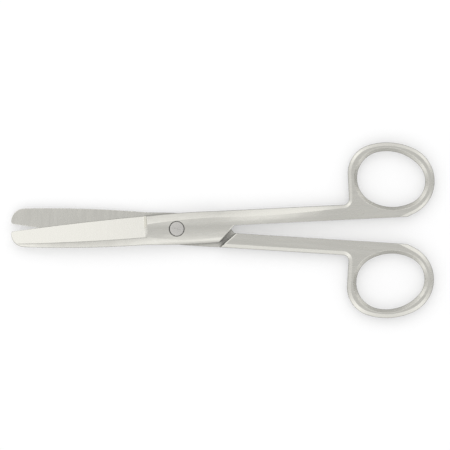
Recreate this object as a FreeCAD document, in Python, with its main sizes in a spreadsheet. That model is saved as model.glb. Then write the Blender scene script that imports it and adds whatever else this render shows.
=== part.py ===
import FreeCAD, Part
import math
import os
import Sketcher

# Straight operating scissors with blunt tips: two forged halves and the screw that joins them.
# The pivot axis is Z, the blades point to -X, the finger rings to +X, and the scissors lie flat on Z = 0.
# Each half is drawn closed, with its inner face on the XY plane and its cutting edge towards +Y.

DOC = FreeCAD.newDocument("SurgicalScissors")

# Driving dimensions in millimetres and degrees: name, value, what it is.
SIZES = [
    ("opening_half_angle", 3.2, "turn of each half from closed, as the scissors lie"),
    ("lap_gap", 0.04, "gap between the two inner faces"),
    ("blade_reach", 56.8, "pivot axis to the end of the blunt tip"),
    ("heel_reach", 10.0, "pivot axis to the end of the joint, where the blade begins"),
    ("heel_ramp", 1.2, "length of the ground ramp at the heel"),
    ("belly_reach", 34.0, "pivot axis to the middle of the blade"),
    ("edge_land", 0.15, "thickness left at the cutting edge"),
    ("hollow_radius", 130.0, "radius of the hollow grind on the inner face, across the blade"),
    ("edge_heel", 4.85, "cutting edge above the axis, at the heel"),
    ("edge_belly", 3.6, "cutting edge above the axis, mid blade"),
    ("edge_tip", 1.75, "cutting edge above the axis, at the tip"),
    ("ridge_heel", 2.4, "ridge of the ground facet below the axis, at the heel"),
    ("ridge_belly", 2.75, "ridge below the axis, mid blade"),
    ("ridge_tip", 2.35, "ridge below the axis, at the tip"),
    ("spine_heel", 5.0, "back of the blade below the axis, at the heel"),
    ("spine_belly", 4.8, "back below the axis, mid blade"),
    ("spine_tip", 3.27, "back below the axis, at the tip"),
    ("ridge_thick_belly", 2.05, "blade thickness at the ridge, mid blade"),
    ("ridge_thick_tip", 1.3, "blade thickness at the ridge, at the tip"),
    ("spine_thick_heel", 2.0, "height of the back's side wall, at the heel"),
    ("spine_thick_belly", 1.75, "height of the back's side wall, mid blade"),
    ("spine_thick_tip", 0.9, "height of the back's side wall, at the tip"),
    ("back_round_heel", 12.0, "radius of the rounded back, at the heel"),
    ("back_round_belly", 11.0, "radius of the rounded back, mid blade"),
    ("back_round_tip", 3.0, "radius of the rounded back, at the tip"),
    ("tip_round", 4.4, "radius of the blunt tip in plan"),
    ("tip_height", 0.75, "centre of the tip's round above the axis"),
    ("tip_corner", 0.7, "radius of the small round between the tip and the cutting edge"),
    ("tip_rim", 0.25, "width of the thin bevel round the tip, on the facet"),
    ("tip_rim_drop", 0.14, "height of that bevel, less than the edge land"),
    ("tip_spare", 0.5, "length that the blade is lofted past its tip before the tip is cut"),
    ("joint_thick", 2.8, "thickness of a half at the pivot"),
    ("crown_radius", 19.0, "radius of the crowned outer face, across the joint"),
    ("joint_outer", 5.35, "outer edge above the axis, at the pivot"),
    ("joint_spine", 5.42, "lower edge below the axis, at the pivot"),
    ("joint_crease", 2.9, "crease of the outer bevel above the axis, at the pivot"),
    ("joint_back", 3.6, "start of the rounded lower edge below the axis, at the pivot"),
    ("joint_spine_wall", 1.75, "height of the joint's lower side wall"),
    ("joint_round", 4.0, "radius of the rounded lower edge, from the pivot to the ring"),
    ("heel_crease", 2.0, "crease above the axis, at the heel"),
    ("bevel_wall", 1.45, "height of the outer side wall under the bevel"),
    ("bevel_round", 15.0, "radius of the gently rounded outer bevel"),
    ("neck_reach", 14.0, "pivot axis to the section where the shank begins"),
    ("neck_spine", 5.3, "lower edge below the axis, at that section"),
    ("neck_crease", 3.3, "crease above the axis, at that section"),
    ("shank_mid_reach", 46.0, "pivot axis to the middle of the shank"),
    ("shank_mid_thick", 2.03, "outer face above the inner plane, mid shank"),
    ("shank_mid_wall", 1.1, "height of the outer side wall, mid shank"),
    ("shank_mid_crease", 3.6, "crease above the axis, mid shank"),
    ("shank_mid_crown", 22.0, "radius of the crowned face, mid shank"),
    ("shank_mid_back", 1.97, "depth behind the inner plane, mid shank"),
    ("shank_outer", 5.4, "outer edge of the shank above the axis"),
    ("shank_inner", 0.25, "inner edge of the shank above the axis"),
    ("shank_back", 2.5, "depth of the shank behind the inner plane, at the shoulder"),
    ("shank_end_reach", 56.0, "pivot axis to the end of the shank at the ring"),
    ("plate_reach", 19.55, "where the joint plate's slanted end would cross the axis"),
    ("shoulder_reach", 20.6, "where the slanted shoulder would cross the axis"),
    ("slant_edge", 0.35, "width of the bevel along the plate's slanted end and the shoulder"),
    ("slant_edge_drop", 0.17, "height of that bevel"),
    ("plate_edge_height", 2.68, "height of the upper line of that bevel on the plate"),
    ("ring_half_thick", 1.8, "half thickness of the finger ring"),
    ("ring_bevel", 1.1, "width of the outer face's bevel round ring and shank end"),
    ("ring_bevel_drop", 0.55, "height of that bevel"),
    ("ring_back_bevel", 1.3, "width of the inner side's bevel round ring and shank"),
    ("ring_back_drop", 0.55, "height of that bevel"),
    ("finger_bevel", 1.15, "width of the bevel round the finger opening"),
    ("finger_bevel_drop", 1.05, "height of that bevel"),
    ("ring_fillet", 2.0, "concave round between shank and ring"),
    ("ring_far_x", 76.65, "outer outline of the ring: centre of its far end's arc"),
    ("ring_far_y", 12.6, "the same centre above the axis"),
    ("ring_far_radius", 12.33, "radius of the far end's arc"),
    ("ring_near_x", 69.4, "centre of the near end's arc"),
    ("ring_near_y", 15.75, "the same centre above the axis"),
    ("ring_near_radius", 9.95, "radius of the near end's arc"),
    ("ring_side_radius", 21.45, "radius of the long side's arc"),
    ("finger_far_ahead", 1.15, "finger opening: centre of its far arc beyond that of the ring's far arc"),
    ("finger_far_below", 0.15, "the same centre below that of the ring's far arc"),
    ("finger_far_radius", 8.03, "radius of the far end's arc"),
    ("finger_near_ahead", 2.2, "centre of its near arc beyond that of the ring's near arc"),
    ("finger_near_below", 1.8, "the same centre below that of the ring's near arc"),
    ("finger_near_radius", 9.1, "radius of the near end's arc"),
    ("finger_side_radius", 15.07, "radius of the two long sides' arcs"),
    ("run_out_x", 71.7, "foot of the line on which the ring's bevel runs out"),
    ("head_radius", 2.47, "radius of the screw's head"),
    ("head_depth", 1.1, "height of the screw's head"),
    ("head_gap", 0.15, "gap round the head in its seat"),
    ("head_play", 0.03, "play under the head"),
    ("head_sunk", 0.02, "rim of the head below the crowned face beside it"),
    ("head_crown", 22.0, "radius of the head's slightly domed top"),
    ("head_edge", 0.1, "chamfer on the rim of the head"),
    ("pin_radius", 1.6, "radius of the screw's plain pin, on which the upper half turns"),
    ("pin_gap", 0.04, "running clearance round the pin"),
    ("thread_radius", 1.4, "radius of the screw's threaded end"),
    ("thread_gap", 0.02, "clearance round the threaded end"),
    ("slot_width", 0.28, "width of the driver slot"),
    ("slot_depth", 0.12, "depth of the driver slot"),
    ("slot_angle", -14.0, "direction of the driver slot"),
]

SHEET = DOC.addObject("Spreadsheet::Sheet", "Sizes")
for row, (alias, number, note) in enumerate(SIZES, start=1):
    SHEET.set(f"A{row}", alias)
    SHEET.set(f"B{row}", str(number))
    SHEET.set(f"C{row}", note)
    SHEET.setAlias(f"B{row}", alias)
DOC.recompute()

MARGIN = 3.0


def size(expression):
    """The value of an expression in the driving dimensions, such as "Sizes.tip_round"."""
    return float(SHEET.evalExpression(expression))


def point(x, y):
    return FreeCAD.Vector(x, y, 0)


def new_sketch(body, name, plane_role, offset=None):
    """A sketch on one of the body's own planes, moved along its normal by the expression offset."""
    sketch = body.newObject("Sketcher::SketchObject", name)
    plane = next(plane for plane in body.Origin.OriginFeatures if plane.Role == plane_role)
    sketch.AttachmentSupport = [(plane, "")]
    sketch.MapMode = "FlatFace"
    if offset:
        sketch.setExpression("AttachmentOffset.Base.z", offset)
    return sketch


def hold(sketch, kind, where, expression):
    """Adds a dimension bound to the driving dimensions."""
    number = sketch.addConstraint(Sketcher.Constraint(kind, *where, size(expression)))
    sketch.setExpression(f"Constraints[{number}]", expression)


def hold_point(sketch, edge, end, x, y):
    """Holds one point of an edge at x, y. A coordinate of "0" puts it on the axis."""
    if x == "0":
        sketch.addConstraint(Sketcher.Constraint("PointOnObject", edge, end, -2))
    else:
        hold(sketch, "DistanceX", (edge, end), x)
    if y == "0":
        sketch.addConstraint(Sketcher.Constraint("PointOnObject", edge, end, -1))
    else:
        hold(sketch, "DistanceY", (edge, end), y)


def arc_between(start, end, radius, turn):
    """The short arc from start to end. turn is 1 anticlockwise and -1 clockwise."""
    chord = end - start
    rise = math.sqrt(radius**2 - (chord.Length / 2) ** 2)
    left = FreeCAD.Vector(-chord.y, chord.x, 0).normalize()
    centre = (start + end) * 0.5 + left * (rise * turn)
    first, last = (start, end) if turn > 0 else (end, start)
    return arc_round(centre, radius, first, last)


def arc_round(centre, radius, first, last):
    """The anticlockwise arc round centre, from the direction of first to that of last."""
    a = math.atan2(first.y - centre.y, first.x - centre.x)
    b = math.atan2(last.y - centre.y, last.x - centre.x)
    if b < a:
        b += 2 * math.pi
    return Part.ArcOfCircle(Part.Circle(centre, FreeCAD.Vector(0, 0, 1), radius), a, b)


def draw(sketch, corners):
    """A closed outline. A corner (x, y) starts a line, and (x, y, radius, turn) starts an arc."""
    points = [point(size(corner[0]), size(corner[1])) for corner in corners]
    ends = []
    for edge, corner in enumerate(corners):
        start, end = points[edge], points[(edge + 1) % len(points)]
        if len(corner) == 2:
            sketch.addGeometry(Part.LineSegment(start, end))
            ends.append((1, 2))
        else:
            sketch.addGeometry(arc_between(start, end, size(corner[2]), corner[3]))
            ends.append((1, 2) if corner[3] > 0 else (2, 1))
    for edge, corner in enumerate(corners):
        before = (edge - 1) % len(corners)
        sketch.addConstraint(
            Sketcher.Constraint("Coincident", before, ends[before][1], edge, ends[edge][0])
        )
        hold_point(sketch, edge, ends[edge][0], corner[0], corner[1])
        if len(corner) > 2:
            hold(sketch, "Radius", (edge,), corner[2])


def add(body, kind, name, profile, **settings):
    """Adds a feature to the body and makes sure that it has changed the solid."""
    before = body.Shape.Volume if body.Tip and not body.Shape.isNull() else 0.0
    feature = body.newObject("PartDesign::" + kind, name)
    if profile is not None:
        feature.Profile = profile
    for setting, value in settings.items():
        if isinstance(value, str) and value.startswith("Sizes."):
            feature.setExpression(setting, value)
        else:
            setattr(feature, setting, value)
    DOC.recompute()
    if not feature.isValid() or feature.Shape.isNull():
        raise RuntimeError(f"{body.Label}: {name} failed")
    if abs(feature.Shape.Volume - before) < 1e-4:
        raise RuntimeError(f"{body.Label}: {name} changed nothing")
    return feature


def edges_where(feature, test):
    """The names of the feature's edges whose middle point passes the test."""
    found = []
    for number, edge in enumerate(feature.Shape.Edges, start=1):
        middle = edge.valueAt((edge.FirstParameter + edge.LastParameter) / 2)
        if test(edge, middle):
            found.append(f"Edge{number}")
    return found


def side_centres(far, near, side_radius):
    """Centres of the two long arcs that touch both end arcs of an oval, the lower one first."""
    axis = far[0] - near[0]
    gap = axis.Length
    to_near = side_radius - near[1]
    to_far = side_radius - far[1]
    along = (to_near**2 - to_far**2 + gap**2) / (2 * gap)
    across = math.sqrt(to_near**2 - along**2)
    unit = axis.normalize()
    left = FreeCAD.Vector(-unit.y, unit.x, 0)
    middle = near[0] + unit * along
    return middle - left * across, middle + left * across


def touch(centre, radius, inner_centre):
    """Where a large arc touches a smaller one that lies inside it."""
    return centre + (inner_centre - centre).normalize() * radius


def hold_arc(sketch, edge, x, y, radius):
    """Holds an arc's centre and radius."""
    hold_point(sketch, edge, 3, x, y)
    hold(sketch, "Radius", (edge,), radius)


FINGER_FAR = (
    "(Sizes.ring_far_x + Sizes.finger_far_ahead)",
    "(Sizes.ring_far_y - Sizes.finger_far_below)",
)
FINGER_NEAR = (
    "(Sizes.ring_near_x + Sizes.finger_near_ahead)",
    "(Sizes.ring_near_y - Sizes.finger_near_below)",
)


def draw_finger_opening(sketch):
    """An oval of four arcs: far end, upper side, near end, lower side."""
    far = point(size(FINGER_FAR[0]), size(FINGER_FAR[1])), size("Sizes.finger_far_radius")
    near = point(size(FINGER_NEAR[0]), size(FINGER_NEAR[1])), size("Sizes.finger_near_radius")
    side = size("Sizes.finger_side_radius")
    low, high = side_centres(far, near, side)
    far_top, near_top = touch(low, side, far[0]), touch(low, side, near[0])
    near_low, far_low = touch(high, side, near[0]), touch(high, side, far[0])
    sketch.addGeometry(arc_round(far[0], far[1], far_low, far_top))
    sketch.addGeometry(arc_round(low, side, far_top, near_top))
    sketch.addGeometry(arc_round(near[0], near[1], near_top, near_low))
    sketch.addGeometry(arc_round(high, side, near_low, far_low))
    for edge in range(4):
        sketch.addConstraint(Sketcher.Constraint("Tangent", edge, 2, (edge + 1) % 4, 1))
    hold_arc(sketch, 0, *FINGER_FAR, "Sizes.finger_far_radius")
    hold_arc(sketch, 2, *FINGER_NEAR, "Sizes.finger_near_radius")
    hold(sketch, "Radius", (1,), "Sizes.finger_side_radius")
    hold(sketch, "Radius", (3,), "Sizes.finger_side_radius")


def draw_ring_plan(sketch):
    """The ring and the shank's end in plan, with the line on which the bevel runs out."""
    far = point(size("Sizes.ring_far_x"), size("Sizes.ring_far_y")), size("Sizes.ring_far_radius")
    near = point(size("Sizes.ring_near_x"), size("Sizes.ring_near_y")), size("Sizes.ring_near_radius")
    side, fillet = size("Sizes.ring_side_radius"), size("Sizes.ring_fillet")
    start, outer, floor = size("Sizes.shank_end_reach"), size("Sizes.shank_outer"), -MARGIN
    low = side_centres(far, near, side)[0]
    far_top, near_top = touch(low, side, far[0]), touch(low, side, near[0])
    near_left = near[0] - point(near[1], 0)
    fillet_centre = point(near_left.x - fillet, outer + fillet)
    fillet_top = fillet_centre + point(fillet, 0)
    fillet_low = fillet_centre - point(0, fillet)
    foot = point(size("Sizes.run_out_x"), floor)
    to_foot = foot - far[0]
    swing = math.acos(far[1] / to_foot.Length) + math.atan2(to_foot.y, to_foot.x)
    leave = far[0] + point(math.cos(swing), math.sin(swing)) * far[1]
    corner, top = point(start, floor), point(start, outer)
    sketch.addGeometry(Part.LineSegment(corner, foot))
    sketch.addGeometry(Part.LineSegment(foot, leave))
    sketch.addGeometry(arc_round(far[0], far[1], leave, far_top))
    sketch.addGeometry(arc_round(low, side, far_top, near_top))
    sketch.addGeometry(arc_round(near[0], near[1], near_top, near_left))
    sketch.addGeometry(Part.LineSegment(near_left, fillet_top))
    sketch.addGeometry(arc_round(fillet_centre, fillet, fillet_low, fillet_top))
    sketch.addGeometry(Part.LineSegment(fillet_low, top))
    sketch.addGeometry(Part.LineSegment(top, corner))
    for before, leaving, after, entering in ((0, 2, 1, 1), (7, 2, 8, 1), (8, 2, 0, 1)):
        sketch.addConstraint(Sketcher.Constraint("Coincident", before, leaving, after, entering))
    for before, leaving, after, entering in (
        (1, 2, 2, 1),
        (2, 2, 3, 1),
        (3, 2, 4, 1),
        (4, 2, 5, 1),
        (5, 2, 6, 2),
        (6, 1, 7, 1),
    ):
        sketch.addConstraint(Sketcher.Constraint("Tangent", before, leaving, after, entering))
    sketch.addConstraint(Sketcher.Constraint("Horizontal", 0))
    sketch.addConstraint(Sketcher.Constraint("Vertical", 5))
    sketch.addConstraint(Sketcher.Constraint("Horizontal", 7))
    hold_point(sketch, 0, 1, "Sizes.shank_end_reach", str(floor))
    hold(sketch, "DistanceX", (1, 1), "Sizes.run_out_x")
    hold_point(sketch, 8, 1, "Sizes.shank_end_reach", "Sizes.shank_outer")
    hold_arc(sketch, 2, "Sizes.ring_far_x", "Sizes.ring_far_y", "Sizes.ring_far_radius")
    hold_arc(sketch, 4, "Sizes.ring_near_x", "Sizes.ring_near_y", "Sizes.ring_near_radius")
    hold(sketch, "Radius", (3,), "Sizes.ring_side_radius")
    hold(sketch, "Radius", (6,), "Sizes.ring_fillet")


def add_ring(body):
    """The finger ring with the end of the shank: a flat slab, bevelled outside and in."""
    plan = new_sketch(body, "RingPlan", "XY_Plane")
    draw_ring_plan(plan)
    half = size("Sizes.ring_half_thick")
    slab = add(
        body, "Pad", "RingSlab", plan, SideType="Symmetric", Length="Sizes.ring_half_thick * 2"
    )
    start, floor = size("Sizes.shank_end_reach"), -MARGIN

    def on_outline(level):
        return lambda edge, middle: (
            abs(middle.z - level) < 1e-6 and middle.x > start + 1e-3 and middle.y > floor + 1e-3
        )

    bevel = add(
        body,
        "Chamfer",
        "RingBevel",
        None,
        Base=(slab, edges_where(slab, on_outline(half))),
        ChamferType="Two distances",
        Size="Sizes.ring_bevel_drop",
        Size2="Sizes.ring_bevel",
    )
    back = add(
        body,
        "Chamfer",
        "RingBackBevel",
        None,
        Base=(bevel, edges_where(bevel, on_outline(-half))),
        ChamferType="Two distances",
        Size="Sizes.ring_back_drop",
        Size2="Sizes.ring_back_bevel",
    )
    return back


def crown(thick, across, radius):
    """Height of a crowned face at a distance across from the axis."""
    return f"{thick} - {radius} + sqrt({radius}^2 - ({across})^2)"


def joint_section(body, name, offset, outer, wall, crease, back, spine, spine_wall, edge_round, thick, radius):
    """A section of the lapped plate: flat inner face, bevel, crown and rounded lower edge."""
    sketch = new_sketch(body, name, "YZ_Plane", offset)
    draw(
        sketch,
        [
            (f"-{spine}", "0"),
            (outer, "0"),
            (outer, wall, "Sizes.bevel_round", 1),
            (crease, crown(thick, crease, radius), radius, 1),
            (f"-{back}", crown(thick, back, radius), edge_round, 1),
            (f"-{spine}", spine_wall),
        ],
    )
    return sketch


def blade_section(body, name, reach, edge, ridge, ridge_thick, spine, spine_wall, back_round):
    """A section of the blade: hollow inner face, keen edge, ground facet, ridge, rounded back."""
    sketch = new_sketch(body, name, "YZ_Plane", f"-{reach}")
    draw(
        sketch,
        [
            (f"-{spine}", "0", "Sizes.hollow_radius", -1),
            (edge, "0"),
            (edge, "Sizes.edge_land"),
            (f"({edge} - {ridge}) / 2", f"(Sizes.edge_land + {ridge_thick}) / 2"),
            (f"-{ridge}", ridge_thick, back_round, 1),
            (f"-{spine}", spine_wall),
        ],
    )
    return sketch


def shank_back_section(body, name, offset, depth):
    """A section of the shank behind the inner plane, with its outer edge bevelled."""
    sketch = new_sketch(body, name, "YZ_Plane", offset)
    draw(
        sketch,
        [
            ("Sizes.shank_inner", "0"),
            ("Sizes.shank_inner", f"-{depth}"),
            ("Sizes.shank_outer - Sizes.ring_back_bevel", f"-{depth}"),
            ("Sizes.shank_outer", f"-({depth} - Sizes.ring_back_drop)"),
            ("Sizes.shank_outer", "0"),
        ],
    )
    return sketch


def make_half(name, hole):
    """One forged half, drawn closed: blade, lapped joint, shank and finger ring in one piece.

    hole is the outline, from the pivot axis outwards, of what is turned out for the screw.
    """
    body = DOC.addObject("PartDesign::Body", name)
    body.Label = name
    half_ring = size("Sizes.ring_half_thick")
    add_ring(body)

    # The inner side of ring and shank is ground flat.
    flat = new_sketch(body, "InnerFlat", "XY_Plane")
    draw(
        flat,
        [
            ("Sizes.shank_end_reach - 1", str(-2 * MARGIN)),
            ("Sizes.ring_far_x + Sizes.ring_far_radius", str(-2 * MARGIN)),
            ("Sizes.ring_far_x + Sizes.ring_far_radius", "Sizes.shank_inner"),
            ("Sizes.shank_end_reach - 1", "Sizes.shank_inner"),
        ],
    )
    add(body, "Pocket", "InnerGrind", flat, Type="ThroughAll", SideType="Symmetric")

    opening = new_sketch(body, "FingerOpening", "XY_Plane")
    draw_finger_opening(opening)
    cut = add(body, "Pocket", "FingerHole", opening, Type="ThroughAll", SideType="Symmetric")
    opening_centre = point(size(FINGER_FAR[0]), size(FINGER_FAR[1]))
    opening_reach = size("Sizes.finger_side_radius")
    opening_radii = [size(f"Sizes.finger_{part}_radius") for part in ("far", "near", "side")]

    def round_opening(edge, middle):
        radius = edge.Curve.Radius if edge.Curve.TypeId == "Part::GeomCircle" else 0.0
        return (
            abs(abs(middle.z) - half_ring) < 1e-6
            and any(abs(radius - own) < 1e-6 for own in opening_radii)
            and (point(middle.x, middle.y) - opening_centre).Length < opening_reach
        )

    rims = edges_where(cut, round_opening)
    add(
        body,
        "Chamfer",
        "FingerBevel",
        None,
        Base=(cut, rims),
        ChamferType="Two distances",
        Size="Sizes.finger_bevel",
        Size2="Sizes.finger_bevel_drop",
    )

    # The lapped plate, from the heel of the blade to the shank.
    heel = joint_section(
        body,
        "HeelSection",
        "-Sizes.heel_reach",
        "Sizes.edge_heel",
        "Sizes.bevel_wall",
        "Sizes.heel_crease",
        "Sizes.ridge_heel",
        "Sizes.spine_heel",
        "Sizes.spine_thick_heel",
        "Sizes.back_round_heel",
        "Sizes.joint_thick",
        "Sizes.crown_radius",
    )
    pivot = joint_section(
        body,
        "PivotSection",
        None,
        "Sizes.joint_outer",
        "Sizes.bevel_wall",
        "Sizes.joint_crease",
        "Sizes.joint_back",
        "Sizes.joint_spine",
        "Sizes.joint_spine_wall",
        "Sizes.joint_round",
        "Sizes.joint_thick",
        "Sizes.crown_radius",
    )
    neck = joint_section(
        body,
        "NeckSection",
        "Sizes.neck_reach",
        "Sizes.shank_outer",
        "Sizes.bevel_wall",
        "Sizes.neck_crease",
        "Sizes.joint_back",
        "Sizes.neck_spine",
        "Sizes.joint_spine_wall",
        "Sizes.joint_round",
        "Sizes.joint_thick",
        "Sizes.crown_radius",
    )
    shank_mid = joint_section(
        body,
        "ShankMidSection",
        "Sizes.shank_mid_reach",
        "Sizes.shank_outer",
        "Sizes.shank_mid_wall",
        "Sizes.shank_mid_crease",
        "Sizes.joint_back",
        "Sizes.neck_spine",
        "Sizes.shank_mid_wall",
        "Sizes.joint_round",
        "Sizes.shank_mid_thick",
        "Sizes.shank_mid_crown",
    )
    shank_end = new_sketch(body, "ShankEndSection", "YZ_Plane", "Sizes.shank_end_reach")
    draw(
        shank_end,
        [
            ("-Sizes.neck_spine", "0"),
            ("Sizes.shank_outer", "0"),
            ("Sizes.shank_outer", "Sizes.ring_half_thick - Sizes.ring_bevel_drop"),
            ("Sizes.shank_outer - Sizes.ring_bevel", "Sizes.ring_half_thick"),
            ("-Sizes.joint_back", "Sizes.ring_half_thick"),
            ("-Sizes.neck_spine", "Sizes.ring_half_thick - Sizes.ring_bevel_drop"),
        ],
    )
    add(body, "AdditiveLoft", "ShankOuter", shank_end, Sections=[shank_mid, neck], Ruled=False)
    add(body, "AdditiveLoft", "JointPlate", neck, Sections=[pivot, heel], Ruled=False)

    plate_end = new_sketch(body, "PlateEnd", "XY_Plane")
    below = str(-3 * MARGIN)
    draw(
        plate_end,
        [
            (f"Sizes.plate_reach + {below}", below),
            ("Sizes.shank_end_reach + 1", below),
            ("Sizes.shank_end_reach + 1", "Sizes.shank_inner"),
            ("Sizes.plate_reach + Sizes.shank_inner", "Sizes.shank_inner"),
        ],
    )
    add(body, "Pocket", "PlateEndCut", plate_end, Type="ThroughAll", SideType="Symmetric")

    # A narrow bevel along the outer edge of the plate's end, drawn across that slanted edge.
    across = new_sketch(body, "PlateEdge", "YZ_Plane")
    across.setExpression(
        "AttachmentOffset",
        "placement(vector(Sizes.shank_inner; 0; Sizes.plate_reach + Sizes.shank_inner);"
        " rotation(vector(0; 1; 0); 45))",
    )
    draw(
        across,
        [
            ("-Sizes.slant_edge", "Sizes.plate_edge_height - 2 * Sizes.slant_edge_drop"),
            ("Sizes.slant_edge", "Sizes.plate_edge_height"),
            ("Sizes.slant_edge", "Sizes.plate_edge_height + Sizes.slant_edge"),
            ("-Sizes.slant_edge", "Sizes.plate_edge_height + Sizes.slant_edge"),
        ],
    )
    add(body, "Pocket", "PlateEdgeCut", across, Length="Sizes.neck_spine * 1.6")

    # The full thickness of the shank behind the inner plane, up to the slanted shoulder.
    back_start = shank_back_section(body, "ShankBackStart", "Sizes.neck_reach", "Sizes.shank_back")
    back_mid = shank_back_section(body, "ShankBackMid", "Sizes.shank_mid_reach", "Sizes.shank_mid_back")
    back_end = shank_back_section(body, "ShankBackEnd", "Sizes.shank_end_reach", "Sizes.ring_half_thick")
    add(body, "AdditiveLoft", "ShankBack", back_end, Sections=[back_mid, back_start], Ruled=False)
    shoulder = new_sketch(body, "Shoulder", "XY_Plane")
    low, high = str(-MARGIN), str(3 * MARGIN)
    draw(
        shoulder,
        [
            ("Sizes.neck_reach - 4", low),
            (f"Sizes.shoulder_reach - {low}", low),
            (f"Sizes.shoulder_reach - {high}", high),
            ("Sizes.neck_reach - 4", high),
        ],
    )
    cut = add(body, "Pocket", "ShoulderCut", shoulder, Length="Sizes.shank_back * 2")

    shoulder_line, half_deep = size("Sizes.shoulder_reach"), size("Sizes.shank_back") / 2

    def outer_shoulder(edge, middle):
        on_slant = all(abs(end.X + end.Y - shoulder_line) < 1e-4 for end in edge.Vertexes)
        return on_slant and all(end.Z < -half_deep for end in edge.Vertexes)

    slant = edges_where(cut, outer_shoulder)
    add(
        body,
        "Chamfer",
        "ShoulderEdge",
        None,
        Base=(cut, slant),
        ChamferType="Two distances",
        Size="Sizes.slant_edge",
        Size2="Sizes.slant_edge_drop",
    )

    # The blade, and the ground ramp at its heel.
    blade_heel = blade_section(
        body,
        "BladeHeel",
        "(Sizes.heel_reach + Sizes.heel_ramp)",
        "Sizes.edge_heel",
        "Sizes.ridge_heel",
        crown("Sizes.joint_thick", "Sizes.ridge_heel", "Sizes.crown_radius"),
        "Sizes.spine_heel",
        "Sizes.spine_thick_heel",
        "Sizes.back_round_heel",
    )
    blade_belly = blade_section(
        body,
        "BladeBelly",
        "Sizes.belly_reach",
        "Sizes.edge_belly",
        "Sizes.ridge_belly",
        "Sizes.ridge_thick_belly",
        "Sizes.spine_belly",
        "Sizes.spine_thick_belly",
        "Sizes.back_round_belly",
    )
    blade_tip = blade_section(
        body,
        "BladeTip",
        "(Sizes.blade_reach + Sizes.tip_spare)",
        "Sizes.edge_tip",
        "Sizes.ridge_tip",
        "Sizes.ridge_thick_tip",
        "Sizes.spine_tip",
        "Sizes.spine_thick_tip",
        "Sizes.back_round_tip",
    )
    add(body, "AdditiveLoft", "HeelRamp", heel, Sections=[blade_heel], Ruled=True)
    add(body, "AdditiveLoft", "Blade", blade_heel, Sections=[blade_belly, blade_tip], Ruled=False)

    # The blunt tip: a large round, and a small one that runs from it into the cutting edge.
    tip = new_sketch(body, "TipPlan", "XY_Plane")
    centre, end = "-(Sizes.blade_reach - Sizes.tip_round)", f"-(Sizes.blade_reach + {MARGIN})"
    wide = str(4 * MARGIN)
    corner_top = (
        "(Sizes.edge_tip + (Sizes.edge_belly - Sizes.edge_tip) * (Sizes.tip_corner + Sizes.tip_spare)"
        " / (Sizes.blade_reach + Sizes.tip_spare - Sizes.belly_reach))"
    )
    rise = f"({corner_top} - Sizes.tip_corner - Sizes.tip_height)"
    run = f"sqrt((Sizes.tip_round - Sizes.tip_corner)^2 - {rise}^2)"
    share = "Sizes.tip_round / (Sizes.tip_round - Sizes.tip_corner)"
    draw(
        tip,
        [
            (f"{centre} - {run}", corner_top, "Sizes.tip_corner", 1),
            (f"{centre} - {run} * {share}", f"Sizes.tip_height + {rise} * {share}", "Sizes.tip_round", 1),
            ("-Sizes.blade_reach", "Sizes.tip_height", "Sizes.tip_round", 1),
            (centre, "Sizes.tip_height - Sizes.tip_round"),
            (centre, "-" + wide),
            (end, "-" + wide),
            (end, wide),
            (f"{centre} - {run}", wide),
        ],
    )
    cut = add(body, "Pocket", "TipCut", tip, Type="ThroughAll", SideType="Symmetric")
    tip_centre, tip_radius = point(size(centre), size("Sizes.tip_height")), size("Sizes.tip_round")
    land = size("Sizes.edge_land")

    def round_tip(edge, middle):
        offsets = [(point(end.X, end.Y) - tip_centre).Length - tip_radius for end in edge.Vertexes]
        return all(abs(offset) < 1e-3 for offset in offsets) and all(end.Z > land for end in edge.Vertexes)

    add(
        body,
        "Chamfer",
        "TipRim",
        None,
        Base=(cut, edges_where(cut, round_tip)),
        ChamferType="Two distances",
        Size="Sizes.tip_rim",
        Size2="Sizes.tip_rim_drop",
    )

    bore = new_sketch(body, "PivotBoreSection", "XZ_Plane")
    draw(bore, hole)
    add(body, "Groove", "PivotBore", bore, ReferenceAxis=(bore, ["V_Axis"]), Angle=360.0)
    return body


def make_screw(name):
    """The pivot screw: a domed, slotted head in its seat, a plain pin and a threaded end."""
    body = DOC.addObject("PartDesign::Body", name)
    body.Label = name
    section = new_sketch(body, "ScrewSection", "XZ_Plane")
    draw(
        section,
        [
            ("0", "-(Sizes.joint_thick + Sizes.lap_gap)"),
            ("Sizes.thread_radius", "-(Sizes.joint_thick + Sizes.lap_gap)"),
            ("Sizes.thread_radius", "-Sizes.lap_gap"),
            ("Sizes.pin_radius", "-Sizes.lap_gap"),
            ("Sizes.pin_radius", f"{SEAT} + Sizes.head_play"),
            ("Sizes.head_radius", f"{SEAT} + Sizes.head_play"),
            ("Sizes.head_radius", f"{HEAD_RIM} - Sizes.head_edge"),
            ("Sizes.head_radius - Sizes.head_edge", HEAD_RIM, "Sizes.head_crown", 1),
            ("0", HEAD_TOP),
        ],
    )
    add(body, "Revolution", "Turned", section, ReferenceAxis=(section, ["V_Axis"]), Angle=360.0)
    slot = new_sketch(body, "SlotPlan", "XY_Plane", HEAD_TOP)
    half, reach = "Sizes.slot_width / 2", "Sizes.head_radius + Sizes.head_gap"
    draw(
        slot,
        [
            (f"-({reach})", f"-{half}"),
            (reach, f"-{half}"),
            (reach, half),
            (f"-({reach})", half),
        ],
    )
    add(body, "Pocket", "Slot", slot, Length="Sizes.slot_depth")
    return body


# Heights above the upper half's inner face: the head's seat, the rim of the head and its top.
SEAT = "(Sizes.joint_thick - Sizes.head_depth)"
HEAD_RIM = "(" + crown("Sizes.joint_thick", "Sizes.head_radius", "Sizes.crown_radius") + " - Sizes.head_sunk)"
HEAD_TOP = (
    f"({HEAD_RIM} + Sizes.head_crown - sqrt(Sizes.head_crown^2 - (Sizes.head_radius - Sizes.head_edge)^2))"
)
THROUGH = "(Sizes.joint_thick + 1)"

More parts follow.
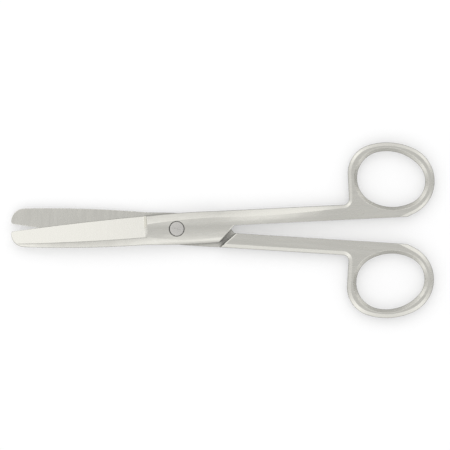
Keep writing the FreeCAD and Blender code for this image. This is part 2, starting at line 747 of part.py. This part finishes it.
upper = make_half(
    "upper_half",
    [
        ("0", f"-{THROUGH}"),
        ("Sizes.pin_radius + Sizes.pin_gap", f"-{THROUGH}"),
        ("Sizes.pin_radius + Sizes.pin_gap", SEAT),
        ("Sizes.head_radius + Sizes.head_gap", SEAT),
        ("Sizes.head_radius + Sizes.head_gap", THROUGH),
        ("0", THROUGH),
    ],
)
upper.setExpression(
    "Placement",
    "placement(vector(0; 0; Sizes.joint_thick + Sizes.lap_gap); "
    "rotation(vector(0; 0; 1); Sizes.opening_half_angle))",
)

lower = make_half(
    "lower_half",
    [
        ("0", f"-{THROUGH}"),
        ("Sizes.thread_radius + Sizes.thread_gap", f"-{THROUGH}"),
        ("Sizes.thread_radius + Sizes.thread_gap", THROUGH),
        ("0", THROUGH),
    ],
)
lower.setExpression(
    "Placement",
    "placement(vector(0; 0; Sizes.joint_thick); rotation(vector(0; 0; 1); -Sizes.opening_half_angle)"
    " * rotation(vector(1; 0; 0); 180))",
)

screw = make_screw("pivot_screw")
screw.setExpression(
    "Placement",
    "placement(vector(0; 0; Sizes.joint_thick + Sizes.lap_gap); rotation(vector(0; 0; 1); Sizes.slot_angle))",
)
DOC.recompute()

PIECES = [lower, upper, screw]
for thing in DOC.Objects:
    if "Invalid" in thing.State or "Error" in thing.State:
        raise RuntimeError(f"{thing.Label}: {thing.State}")
for piece in PIECES:
    if piece.Shape.isNull() or not piece.Shape.isValid() or len(piece.Shape.Solids) != 1:
        raise RuntimeError(f"{piece.Label} is not one valid solid")

os.makedirs("parts", exist_ok=True)
for piece in PIECES:
    piece.Shape.exportStep(f"parts/{piece.Label}.step")
    box = piece.Shape.optimalBoundingBox()
    print(piece.Label, round(piece.Shape.Volume, 1), box)
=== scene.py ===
import math

import bpy
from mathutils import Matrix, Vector

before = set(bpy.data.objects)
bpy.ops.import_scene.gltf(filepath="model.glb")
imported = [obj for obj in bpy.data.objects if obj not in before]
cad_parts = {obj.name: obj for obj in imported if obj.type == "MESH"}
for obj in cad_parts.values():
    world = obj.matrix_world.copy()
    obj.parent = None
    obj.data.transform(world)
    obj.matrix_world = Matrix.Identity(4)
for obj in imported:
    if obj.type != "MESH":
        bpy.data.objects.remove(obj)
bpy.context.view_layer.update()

# The lower half: a lever of forged stainless steel with blade, lapped joint, shank and ring.
# It lies turned over, so its flat inner side faces up, and the screw is threaded into it.
# The blade is ground with lines across it, and the shank and the ring have an even satin finish.
HALF_TURN = math.radians(3.2)
BLADE_REACH = -0.0568
RAMP_FOOT = -0.0113
BLADE_END = -0.0101
FOOT_FADE = 0.0005
TOP_FADE = 0.0004
JOINT_FADE = 0.0002
RAMP_SLOPE = (-0.45, -0.8)
STEEL_COLOUR = (0.66, 0.65, 0.605)
TIP_TONE = 1.07
HEEL_TONE = 0.98
# Painted highlight: the colour of the steep ramp at the blade's heel is lightened, standing in for
# the light it catches.
RAMP_PAINTED_HIGHLIGHT = 1.45
SATIN_TONE = 1.0
TONE_SPREAD = 0.022
STEEL_ROUGHNESS = 0.27
ROUGHNESS_SPREAD = 0.02
GRIND_PITCH = 0.00028
GRIND_LENGTH = 0.006
STREAK_PITCH = 0.0011
LINE_DETAIL = 2.0
SATIN_GRAIN = 0.00035
SATIN_DETAIL = 3.0
GRAIN_DEPTH = 0.0000008
GRAIN_ROUGHNESS = 0.55
NOISE_RANGE = (0.3, 0.7)
RUBBED_LINES = (50.0, 900.0, 900.0)
FORGING_WAVE = (35.0, 900.0, 900.0)
WAVE_DETAIL = 1.0
WAVE_DEPTH = 0.000008
EDGE_WEAR = 0.00012
WEAR_SEGMENTS = 2
SHARP_EDGE = math.radians(18)
CREASE_ANGLE = math.radians(2)
MERGE_DISTANCE = 1e-6
EDGE_SOFTNESS = 0.00026
KEPT_TURN = math.radians(5)
WORN_TURN = math.radians(9)
# Painted shade: darker lines along the outlines and beside the blade's ridge, where rounded edges
# turn away from the light.
RIM_WIDTH = 0.0007
RIM_DROP = (0.08, 0.25)
RIM_PAINTED_SHADE = 0.45
BACK_LEAN = (0.03, 0.1)
RIDGE_RISE = (0.0, 0.06)
RIDGE_PAINTED_SHADE = 0.74
# Painted shade: the steel's colour is darkened in gaps and corners where little light reaches.
PAINTED_SHADE_REACH = 0.0025
PAINTED_SHADE_RANGE = (0.3, 0.65)
CREVICE_PAINTED_SHADE = 0.02
SHADE_SAMPLES = 8
MIX_SOCKETS = {"FLOAT": (2, 3, 0), "VECTOR": (4, 5, 1)}


def add_node(tree, kind, inputs=None, **settings):
    """Adds a shader node with its settings, and links or sets its inputs."""
    node = tree.nodes.new(kind)
    for name, value in settings.items():
        setattr(node, name, value)
    for name, value in (inputs or {}).items():
        if isinstance(value, bpy.types.NodeSocket):
            tree.links.new(value, node.inputs[name])
        else:
            node.inputs[name].default_value = value
    return node


def new_material(name):
    """An empty node material with its Principled shader."""
    material = bpy.data.materials.new(name)
    material.use_nodes = True
    tree = material.node_tree
    tree.nodes.clear()
    shader = add_node(tree, "ShaderNodeBsdfPrincipled")
    add_node(tree, "ShaderNodeOutputMaterial", {"Surface": shader.outputs["BSDF"]})
    return material, tree, shader


def calculate(tree, operation, *values):
    """The result of a sum on one, two or three values."""
    node = add_node(tree, "ShaderNodeMath", dict(enumerate(values)), operation=operation)
    return node.outputs["Value"]


def parts_of(tree, vector):
    return add_node(tree, "ShaderNodeSeparateXYZ", {"Vector": vector}).outputs


def ranged(tree, value, limits, levels=(0.0, 1.0)):
    """The first level at the first limit and before it, and the second level from the second on."""
    inputs = {
        "Value": value,
        "From Min": limits[0],
        "From Max": limits[1],
        "To Min": levels[0],
        "To Max": levels[1],
    }
    return add_node(tree, "ShaderNodeMapRange", inputs).outputs["Result"]


def blend(tree, factor, first, second, kind="FLOAT"):
    """The first value where the factor is 0 and the second where it is 1."""
    first_socket, second_socket, result = MIX_SOCKETS[kind]
    inputs = {0: factor, first_socket: first, second_socket: second}
    return add_node(tree, "ShaderNodeMix", inputs, data_type=kind).outputs[result]


def grain(tree, place, scale, detail):
    """Noise from 0 to 1 at a place, stretched by a scale in each direction."""
    stretched = add_node(tree, "ShaderNodeMapping", {"Vector": place, "Scale": scale})
    inputs = {
        "Vector": stretched.outputs["Vector"],
        "Scale": 1.0,
        "Detail": detail,
        "Roughness": GRAIN_ROUGHNESS,
    }
    return add_node(tree, "ShaderNodeTexNoise", inputs).outputs["Fac"]


def spread(tree, noise, low, high):
    """Noise spread from low to high over the range where most of it lies."""
    return ranged(tree, noise, NOISE_RANGE, (low, high))


def rounded_normal(tree, radius):
    """The normal with the edges rounded by a radius, and the normal as it is."""
    inputs = {"Radius": radius}
    rounded = add_node(tree, "ShaderNodeBevel", inputs, samples=SHADE_SAMPLES).outputs["Normal"]
    smooth = add_node(tree, "ShaderNodeNewGeometry").outputs["Normal"]
    return rounded, smooth


def in_own_space(tree, normal):
    """The parts of a normal in the node's own directions, so that they turn with the piece."""
    own = add_node(
        tree,
        "ShaderNodeVectorTransform",
        {"Vector": normal},
        vector_type="NORMAL",
        convert_from="WORLD",
        convert_to="OBJECT",
    )
    return parts_of(tree, own.outputs["Vector"])


def painted_crevice_shade(tree):
    """Painted shade: 1 in the open, and darker where narrow gaps and corners lose the light, taken
    from the occlusion by nearby surfaces.
    """
    inputs = {"Distance": PAINTED_SHADE_REACH}
    shade = add_node(tree, "ShaderNodeAmbientOcclusion", inputs, samples=SHADE_SAMPLES)
    return ranged(tree, shade.outputs["AO"], PAINTED_SHADE_RANGE, (CREVICE_PAINTED_SHADE, 1.0))


def colour_with_painted_shade(tree, shader, colour, tone):
    """Sets the metal's own colour with its tone, and with painted shade that darkens it in
    crevices.
    """
    shaded = calculate(tree, "MULTIPLY", tone, painted_crevice_shade(tree))
    inputs = {0: colour, "Scale": shaded}
    scaled = add_node(tree, "ShaderNodeVectorMath", inputs, operation="SCALE")
    tree.links.new(scaled.outputs["Vector"], shader.inputs["Base Color"])
    shader.inputs["Metallic"].default_value = 1.0


def relief(tree, shader, softness, layers):
    """Bumps the surface by each height and depth, over edges that are softly worn.

    The shallow creases between two ground faces stay crisp.
    """
    worn, smooth = rounded_normal(tree, softness)
    inputs = {0: worn, 1: smooth}
    alike = add_node(tree, "ShaderNodeVectorMath", inputs, operation="DOT_PRODUCT")
    limits = (math.cos(WORN_TURN), math.cos(KEPT_TURN))
    near_edge = ranged(tree, alike.outputs["Value"], limits, (1.0, 0.0))
    normal = blend(tree, near_edge, smooth, worn, "VECTOR")
    for height, depth in layers:
        inputs = {"Height": height, "Strength": 1.0, "Distance": depth, "Normal": normal}
        normal = add_node(tree, "ShaderNodeBump", inputs).outputs["Normal"]
    tree.links.new(normal, shader.inputs["Normal"])


def blade_tone_and_highlight(tree, along, facing):
    """The tone along the blade, with a painted highlight that lightens the steep ramp at its heel.
    """
    tone = ranged(tree, along, (BLADE_REACH, RAMP_FOOT), (TIP_TONE, HEEL_TONE))
    on_ramp = ranged(tree, facing["X"], RAMP_SLOPE)
    ramp_highlight = ranged(tree, along, (BLADE_END - TOP_FADE, BLADE_END), (RAMP_PAINTED_HIGHLIGHT, 1.0))
    near_ramp = ranged(tree, along, (RAMP_FOOT - FOOT_FADE, RAMP_FOOT))
    return blend(tree, calculate(tree, "MULTIPLY", on_ramp, near_ramp), tone, ramp_highlight)


def painted_edge_shade(tree, behind_blade, facing, side):
    """Painted shade: a darker line where the surface falls away to an outline, and beside the
    blade's ridge.

    On the blade both lie on its rounded back only. The side is 1 or -1 for the way the back faces.
    """
    back_slope = calculate(tree, "MULTIPLY", facing["Y"], -side)
    on_back = ranged(tree, back_slope, BACK_LEAN)
    rounded, smooth = (in_own_space(tree, normal) for normal in rounded_normal(tree, RIM_WIDTH))
    heights = [calculate(tree, "ABSOLUTE", parts["Z"]) for parts in (smooth, rounded)]
    falls_away = ranged(tree, calculate(tree, "SUBTRACT", *heights), RIM_DROP)
    has_rim = blend(tree, behind_blade, on_back, 1.0)
    on_rim = calculate(tree, "MULTIPLY", falls_away, has_rim)
    rise = calculate(tree, "SUBTRACT", rounded["Y"], smooth["Y"])
    rises = ranged(tree, calculate(tree, "MULTIPLY", rise, side), RIDGE_RISE)
    by_ridge = calculate(tree, "MULTIPLY", rises, on_back)
    by_ridge = blend(tree, behind_blade, by_ridge, 0.0)
    return calculate(
        tree,
        "MULTIPLY",
        blend(tree, by_ridge, 1.0, RIDGE_PAINTED_SHADE),
        blend(tree, on_rim, 1.0, RIM_PAINTED_SHADE),
    )


def satin_steel(name, turn):
    """Ground stainless steel on one half: lines across the blade, even satin behind it."""
    material, tree, shader = new_material(name)
    surface = add_node(tree, "ShaderNodeTexCoord").outputs
    inputs = {"Vector": surface["Object"], "Rotation": (0, 0, -turn)}
    place = add_node(tree, "ShaderNodeMapping", inputs).outputs["Vector"]
    along = parts_of(tree, place)["X"]
    behind_blade = ranged(tree, along, (BLADE_END - JOINT_FADE, BLADE_END))

    line_length = (1 / GRIND_LENGTH, 1 / GRIND_LENGTH)
    lines = grain(tree, place, (1 / GRIND_PITCH, *line_length), LINE_DETAIL)
    streaks = grain(tree, place, (1 / STREAK_PITCH, *line_length), LINE_DETAIL)
    satin = grain(tree, place, (1 / SATIN_GRAIN,) * 3, SATIN_DETAIL)
    rubbed = grain(tree, place, RUBBED_LINES, SATIN_DETAIL)
    waves = grain(tree, place, FORGING_WAVE, WAVE_DETAIL)

    ground = blend(tree, behind_blade, lines, satin)
    wavy = calculate(tree, "MULTIPLY", waves, behind_blade)
    relief(tree, shader, EDGE_SOFTNESS, [(wavy, WAVE_DEPTH), (ground, GRAIN_DEPTH)])

    uneven = blend(tree, behind_blade, streaks, rubbed)
    roughness = (STEEL_ROUGHNESS - ROUGHNESS_SPREAD, STEEL_ROUGHNESS + ROUGHNESS_SPREAD)
    tree.links.new(spread(tree, uneven, *roughness), shader.inputs["Roughness"])

    facing = parts_of(tree, surface["Normal"])
    tone = calculate(
        tree,
        "MULTIPLY",
        spread(tree, uneven, 1.0 - TONE_SPREAD, 1.0 + TONE_SPREAD),
        blend(tree, behind_blade, blade_tone_and_highlight(tree, along, facing), SATIN_TONE),
    )
    # The painted shade along the outlines and beside the ridge.
    edges = painted_edge_shade(tree, behind_blade, facing, math.copysign(1, turn))
    colour_with_painted_shade(tree, shader, STEEL_COLOUR, calculate(tree, "MULTIPLY", tone, edges))
    return material


def mark_creases(mesh):
    """Keeps the line crisp where two ground faces meet, also where they differ by few degrees."""
    borders = {}
    for polygon in mesh.polygons:
        for key in polygon.edge_keys:
            ends = [mesh.vertices[end].co / MERGE_DISTANCE for end in key]
            place = tuple(sorted(tuple(round(part) for part in end) for end in ends))
            borders.setdefault(place, []).append((polygon.normal, key))
    creases = set()
    for (normal, key), *others in borders.values():
        for other, other_key in others:
            if other_key != key and normal.angle(other, 0.0) > CREASE_ANGLE:
                creases.update((key, other_key))
    for edge in mesh.edges:
        edge.use_edge_sharp = edge.key in creases


def finish_solid(node, material, wear):
    """Gives a node its material and softly worn edges. Its own mesh stays as it is."""
    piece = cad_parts[node]
    piece.data.materials.clear()
    piece.data.materials.append(material)
    normals = piece.data.attributes.get("custom_normal")
    if normals:
        piece.data.attributes.remove(normals)
    for polygon in piece.data.polygons:
        polygon.use_smooth = True
    mark_creases(piece.data)
    weld = piece.modifiers.new("one_skin", "WELD")
    weld.merge_threshold = MERGE_DISTANCE
    worn = piece.modifiers.new("worn_edges", "BEVEL")
    worn.width = wear
    worn.segments = WEAR_SEGMENTS
    worn.limit_method = "ANGLE"
    worn.angle_limit = SHARP_EDGE
    worn.harden_normals = True


finish_solid("lower_half", satin_steel("lower_half_steel", -HALF_TURN), EDGE_WEAR)

# The upper half: the same forging the other way up, so its ground facet and crowned joint show.
# Its facet takes the light evenly from the ridge to the cutting edge. The screw's head holds it.
finish_solid("upper_half", satin_steel("upper_half_steel", HALF_TURN), EDGE_WEAR)

# The pivot screw: turned from stainless bar and threaded into the lower half.
# Its head, with a fine driver slot, is ground almost flush with the joint of the upper half.
SCREW_COLOUR = (0.66, 0.645, 0.62)
SCREW_TONES = (0.97, 1.03)
SCREW_ROUGHNESS = (0.24, 0.32)
SCREW_CLOUD = (700.0, 700.0, 700.0)
SCREW_WEAR = EDGE_WEAR / 3
SCREW_SOFTNESS = EDGE_SOFTNESS / 6
TURNED_PITCH = 0.00015


def turned_steel(name):
    """Turned and ground steel with fine rings round the screw's axis."""
    material, tree, shader = new_material(name)
    place = add_node(tree, "ShaderNodeTexCoord").outputs["Object"]
    parts = parts_of(tree, place)
    flat = add_node(tree, "ShaderNodeCombineXYZ", {"X": parts["X"], "Y": parts["Y"], "Z": 0.0})
    inputs = {0: flat.outputs["Vector"]}
    radius = add_node(tree, "ShaderNodeVectorMath", inputs, operation="LENGTH").outputs["Value"]
    ring = calculate(tree, "MULTIPLY", radius, 1 / TURNED_PITCH)
    inputs = {"W": ring, "Scale": 1.0, "Detail": LINE_DETAIL}
    rings = add_node(tree, "ShaderNodeTexNoise", inputs, noise_dimensions="1D").outputs["Fac"]
    relief(tree, shader, SCREW_SOFTNESS, [(rings, GRAIN_DEPTH)])
    cloud = grain(tree, place, SCREW_CLOUD, LINE_DETAIL)
    tree.links.new(spread(tree, cloud, *SCREW_ROUGHNESS), shader.inputs["Roughness"])
    colour_with_painted_shade(tree, shader, SCREW_COLOUR, spread(tree, rings, *SCREW_TONES))
    return material


finish_solid("pivot_screw", turned_steel("pivot_screw_steel"), SCREW_WEAR)

# The surface that the scissors lie on: smooth white card, lit evenly.
# It takes their soft shadow, and it glows a little to the eye, so that the shadow stays light.
CARD_HALF = 0.6
CARD_COLOUR = (0.93, 0.93, 0.935, 1.0)
CARD_ROUGHNESS = 0.8
CARD_GLOSS = 0.2
CARD_GLOW = 0.4
WHITE = (1.0, 1.0, 1.0, 1.0)

card_material, card_tree, card_shader = new_material("white_card")
card_shader.inputs["Base Color"].default_value = CARD_COLOUR
card_shader.inputs["Roughness"].default_value = CARD_ROUGHNESS
card_shader.inputs["Specular IOR Level"].default_value = CARD_GLOSS
glow = add_node(card_tree, "ShaderNodeEmission", {"Color": WHITE, "Strength": 1.0})
ray = add_node(card_tree, "ShaderNodeLightPath").outputs
seen = calculate(card_tree, "MAXIMUM", ray["Is Camera Ray"], ray["Is Glossy Ray"])
card_mix = add_node(
    card_tree,
    "ShaderNodeMixShader",
    {
        0: calculate(card_tree, "MULTIPLY", seen, CARD_GLOW),
        1: card_shader.outputs["BSDF"],
        2: glow.outputs["Emission"],
    },
)
card_output = card_tree.nodes["Material Output"]
card_tree.links.new(card_mix.outputs["Shader"], card_output.inputs["Surface"])

card_mesh = bpy.data.meshes.new("white_card")
card_ends = [(-CARD_HALF, -CARD_HALF), (CARD_HALF, -CARD_HALF)]
card_ends += [(CARD_HALF, CARD_HALF), (-CARD_HALF, CARD_HALF)]
card_mesh.from_pydata([(x, y, 0) for x, y in card_ends], [], [(0, 1, 2, 3)])
card_mesh.materials.append(card_material)
card = bpy.data.objects.new("white_card", card_mesh)
bpy.context.scene.collection.objects.link(card)

# The light: a soft tent with a long light box on each side of the scissors, dimmer overhead.
# Each stop is how far a direction leans sideways, from 0 overhead to 1 at the table, and its level.
TENT_LEVELS = (
    (0.0, 0.68),
    (0.12, 0.72),
    (0.35, 0.97),
    (0.5, 1.35),
    (0.6, 1.31),
    (0.72, 1.05),
    (0.85, 0.92),
    (1.0, 0.75),
)
LEFT_END_LEVEL = 0.27
HORIZON_HEIGHT = 0.45
HORIZON_LEVEL = 0.75
LAMP_HEIGHT = 0.9
LAMP_SIDE = 0.5
LAMP_SIZE = 1.0
LAMP_POWER = 1.6

world = bpy.data.worlds.new("soft_tent")
bpy.context.scene.world = world
world.use_nodes = True
sky = world.node_tree
sky.nodes.clear()
direction = add_node(sky, "ShaderNodeTexCoord").outputs["Generated"]
leaning = parts_of(sky, direction)
sideways = calculate(sky, "ABSOLUTE", leaning["Y"])
brightest = max(amount for lean, amount in TENT_LEVELS)
ramp = add_node(sky, "ShaderNodeValToRGB", {"Fac": sideways})
ramp.color_ramp.interpolation = "EASE"
stops = ramp.color_ramp.elements
for number, (lean, amount) in enumerate(TENT_LEVELS):
    stop = stops[number] if number < len(stops) else stops.new(lean)
    stop.position = lean
    stop.color = (amount / brightest,) * 3 + (1.0,)
left_end = ranged(sky, leaning["X"], (-1.0, 0.0), (LEFT_END_LEVEL, 0.0))
level = calculate(sky, "MULTIPLY_ADD", ramp.outputs["Color"], brightest, left_end)
towards_table = ranged(sky, leaning["Z"], (0.0, HORIZON_HEIGHT), (HORIZON_LEVEL, 1.0))
level = calculate(sky, "MULTIPLY", level, towards_table)
tent = add_node(sky, "ShaderNodeBackground", {"Color": WHITE, "Strength": level})
add_node(sky, "ShaderNodeOutputWorld", {"Surface": tent.outputs["Background"]})

lamp_data = bpy.data.lights.new("side_lamp", "AREA")
lamp_data.size = LAMP_SIZE
lamp_data.energy = LAMP_POWER
lamp = bpy.data.objects.new("side_lamp", lamp_data)
lamp.location = (0, LAMP_SIDE, LAMP_HEIGHT)
lamp.rotation_euler = (-lamp.location).to_track_quat("-Z", "Y").to_euler()
lamp.visible_glossy = False
bpy.context.scene.collection.objects.link(lamp)

# The camera: straight above with a long lens, rolled so little that the pair slopes as it should.
# The photograph is 450 pixels square, and the pivot stands at its own pixel.
PHOTO_SIZE = 450
PIVOT_PIXEL = (176.85, 228.8)
PIXEL_SIZE = 0.0003428
CAMERA_ROLL = math.radians(0.39)
CAMERA_DISTANCE = 1.2
SENSOR_WIDTH = 36.0
CLIP_END = 10.0
LAP_HEIGHT = 0.0028

camera_data = bpy.data.cameras.new("camera")
camera_data.sensor_fit = "HORIZONTAL"
camera_data.sensor_width = SENSOR_WIDTH
camera_data.lens = SENSOR_WIDTH * CAMERA_DISTANCE / (PHOTO_SIZE * PIXEL_SIZE)
camera_data.clip_end = CLIP_END
camera = bpy.data.objects.new("camera", camera_data)
middle = PHOTO_SIZE / 2
from_pivot = Vector((middle - PIVOT_PIXEL[0], PIVOT_PIXEL[1] - middle, 0)) * PIXEL_SIZE
camera.rotation_euler = (0, 0, CAMERA_ROLL)
camera.location = camera.rotation_euler.to_matrix() @ from_pivot
camera.location.z = LAP_HEIGHT + CAMERA_DISTANCE
bpy.context.scene.collection.objects.link(camera)
bpy.context.scene.camera = camera
bpy.context.scene.view_settings.view_transform = "Standard"
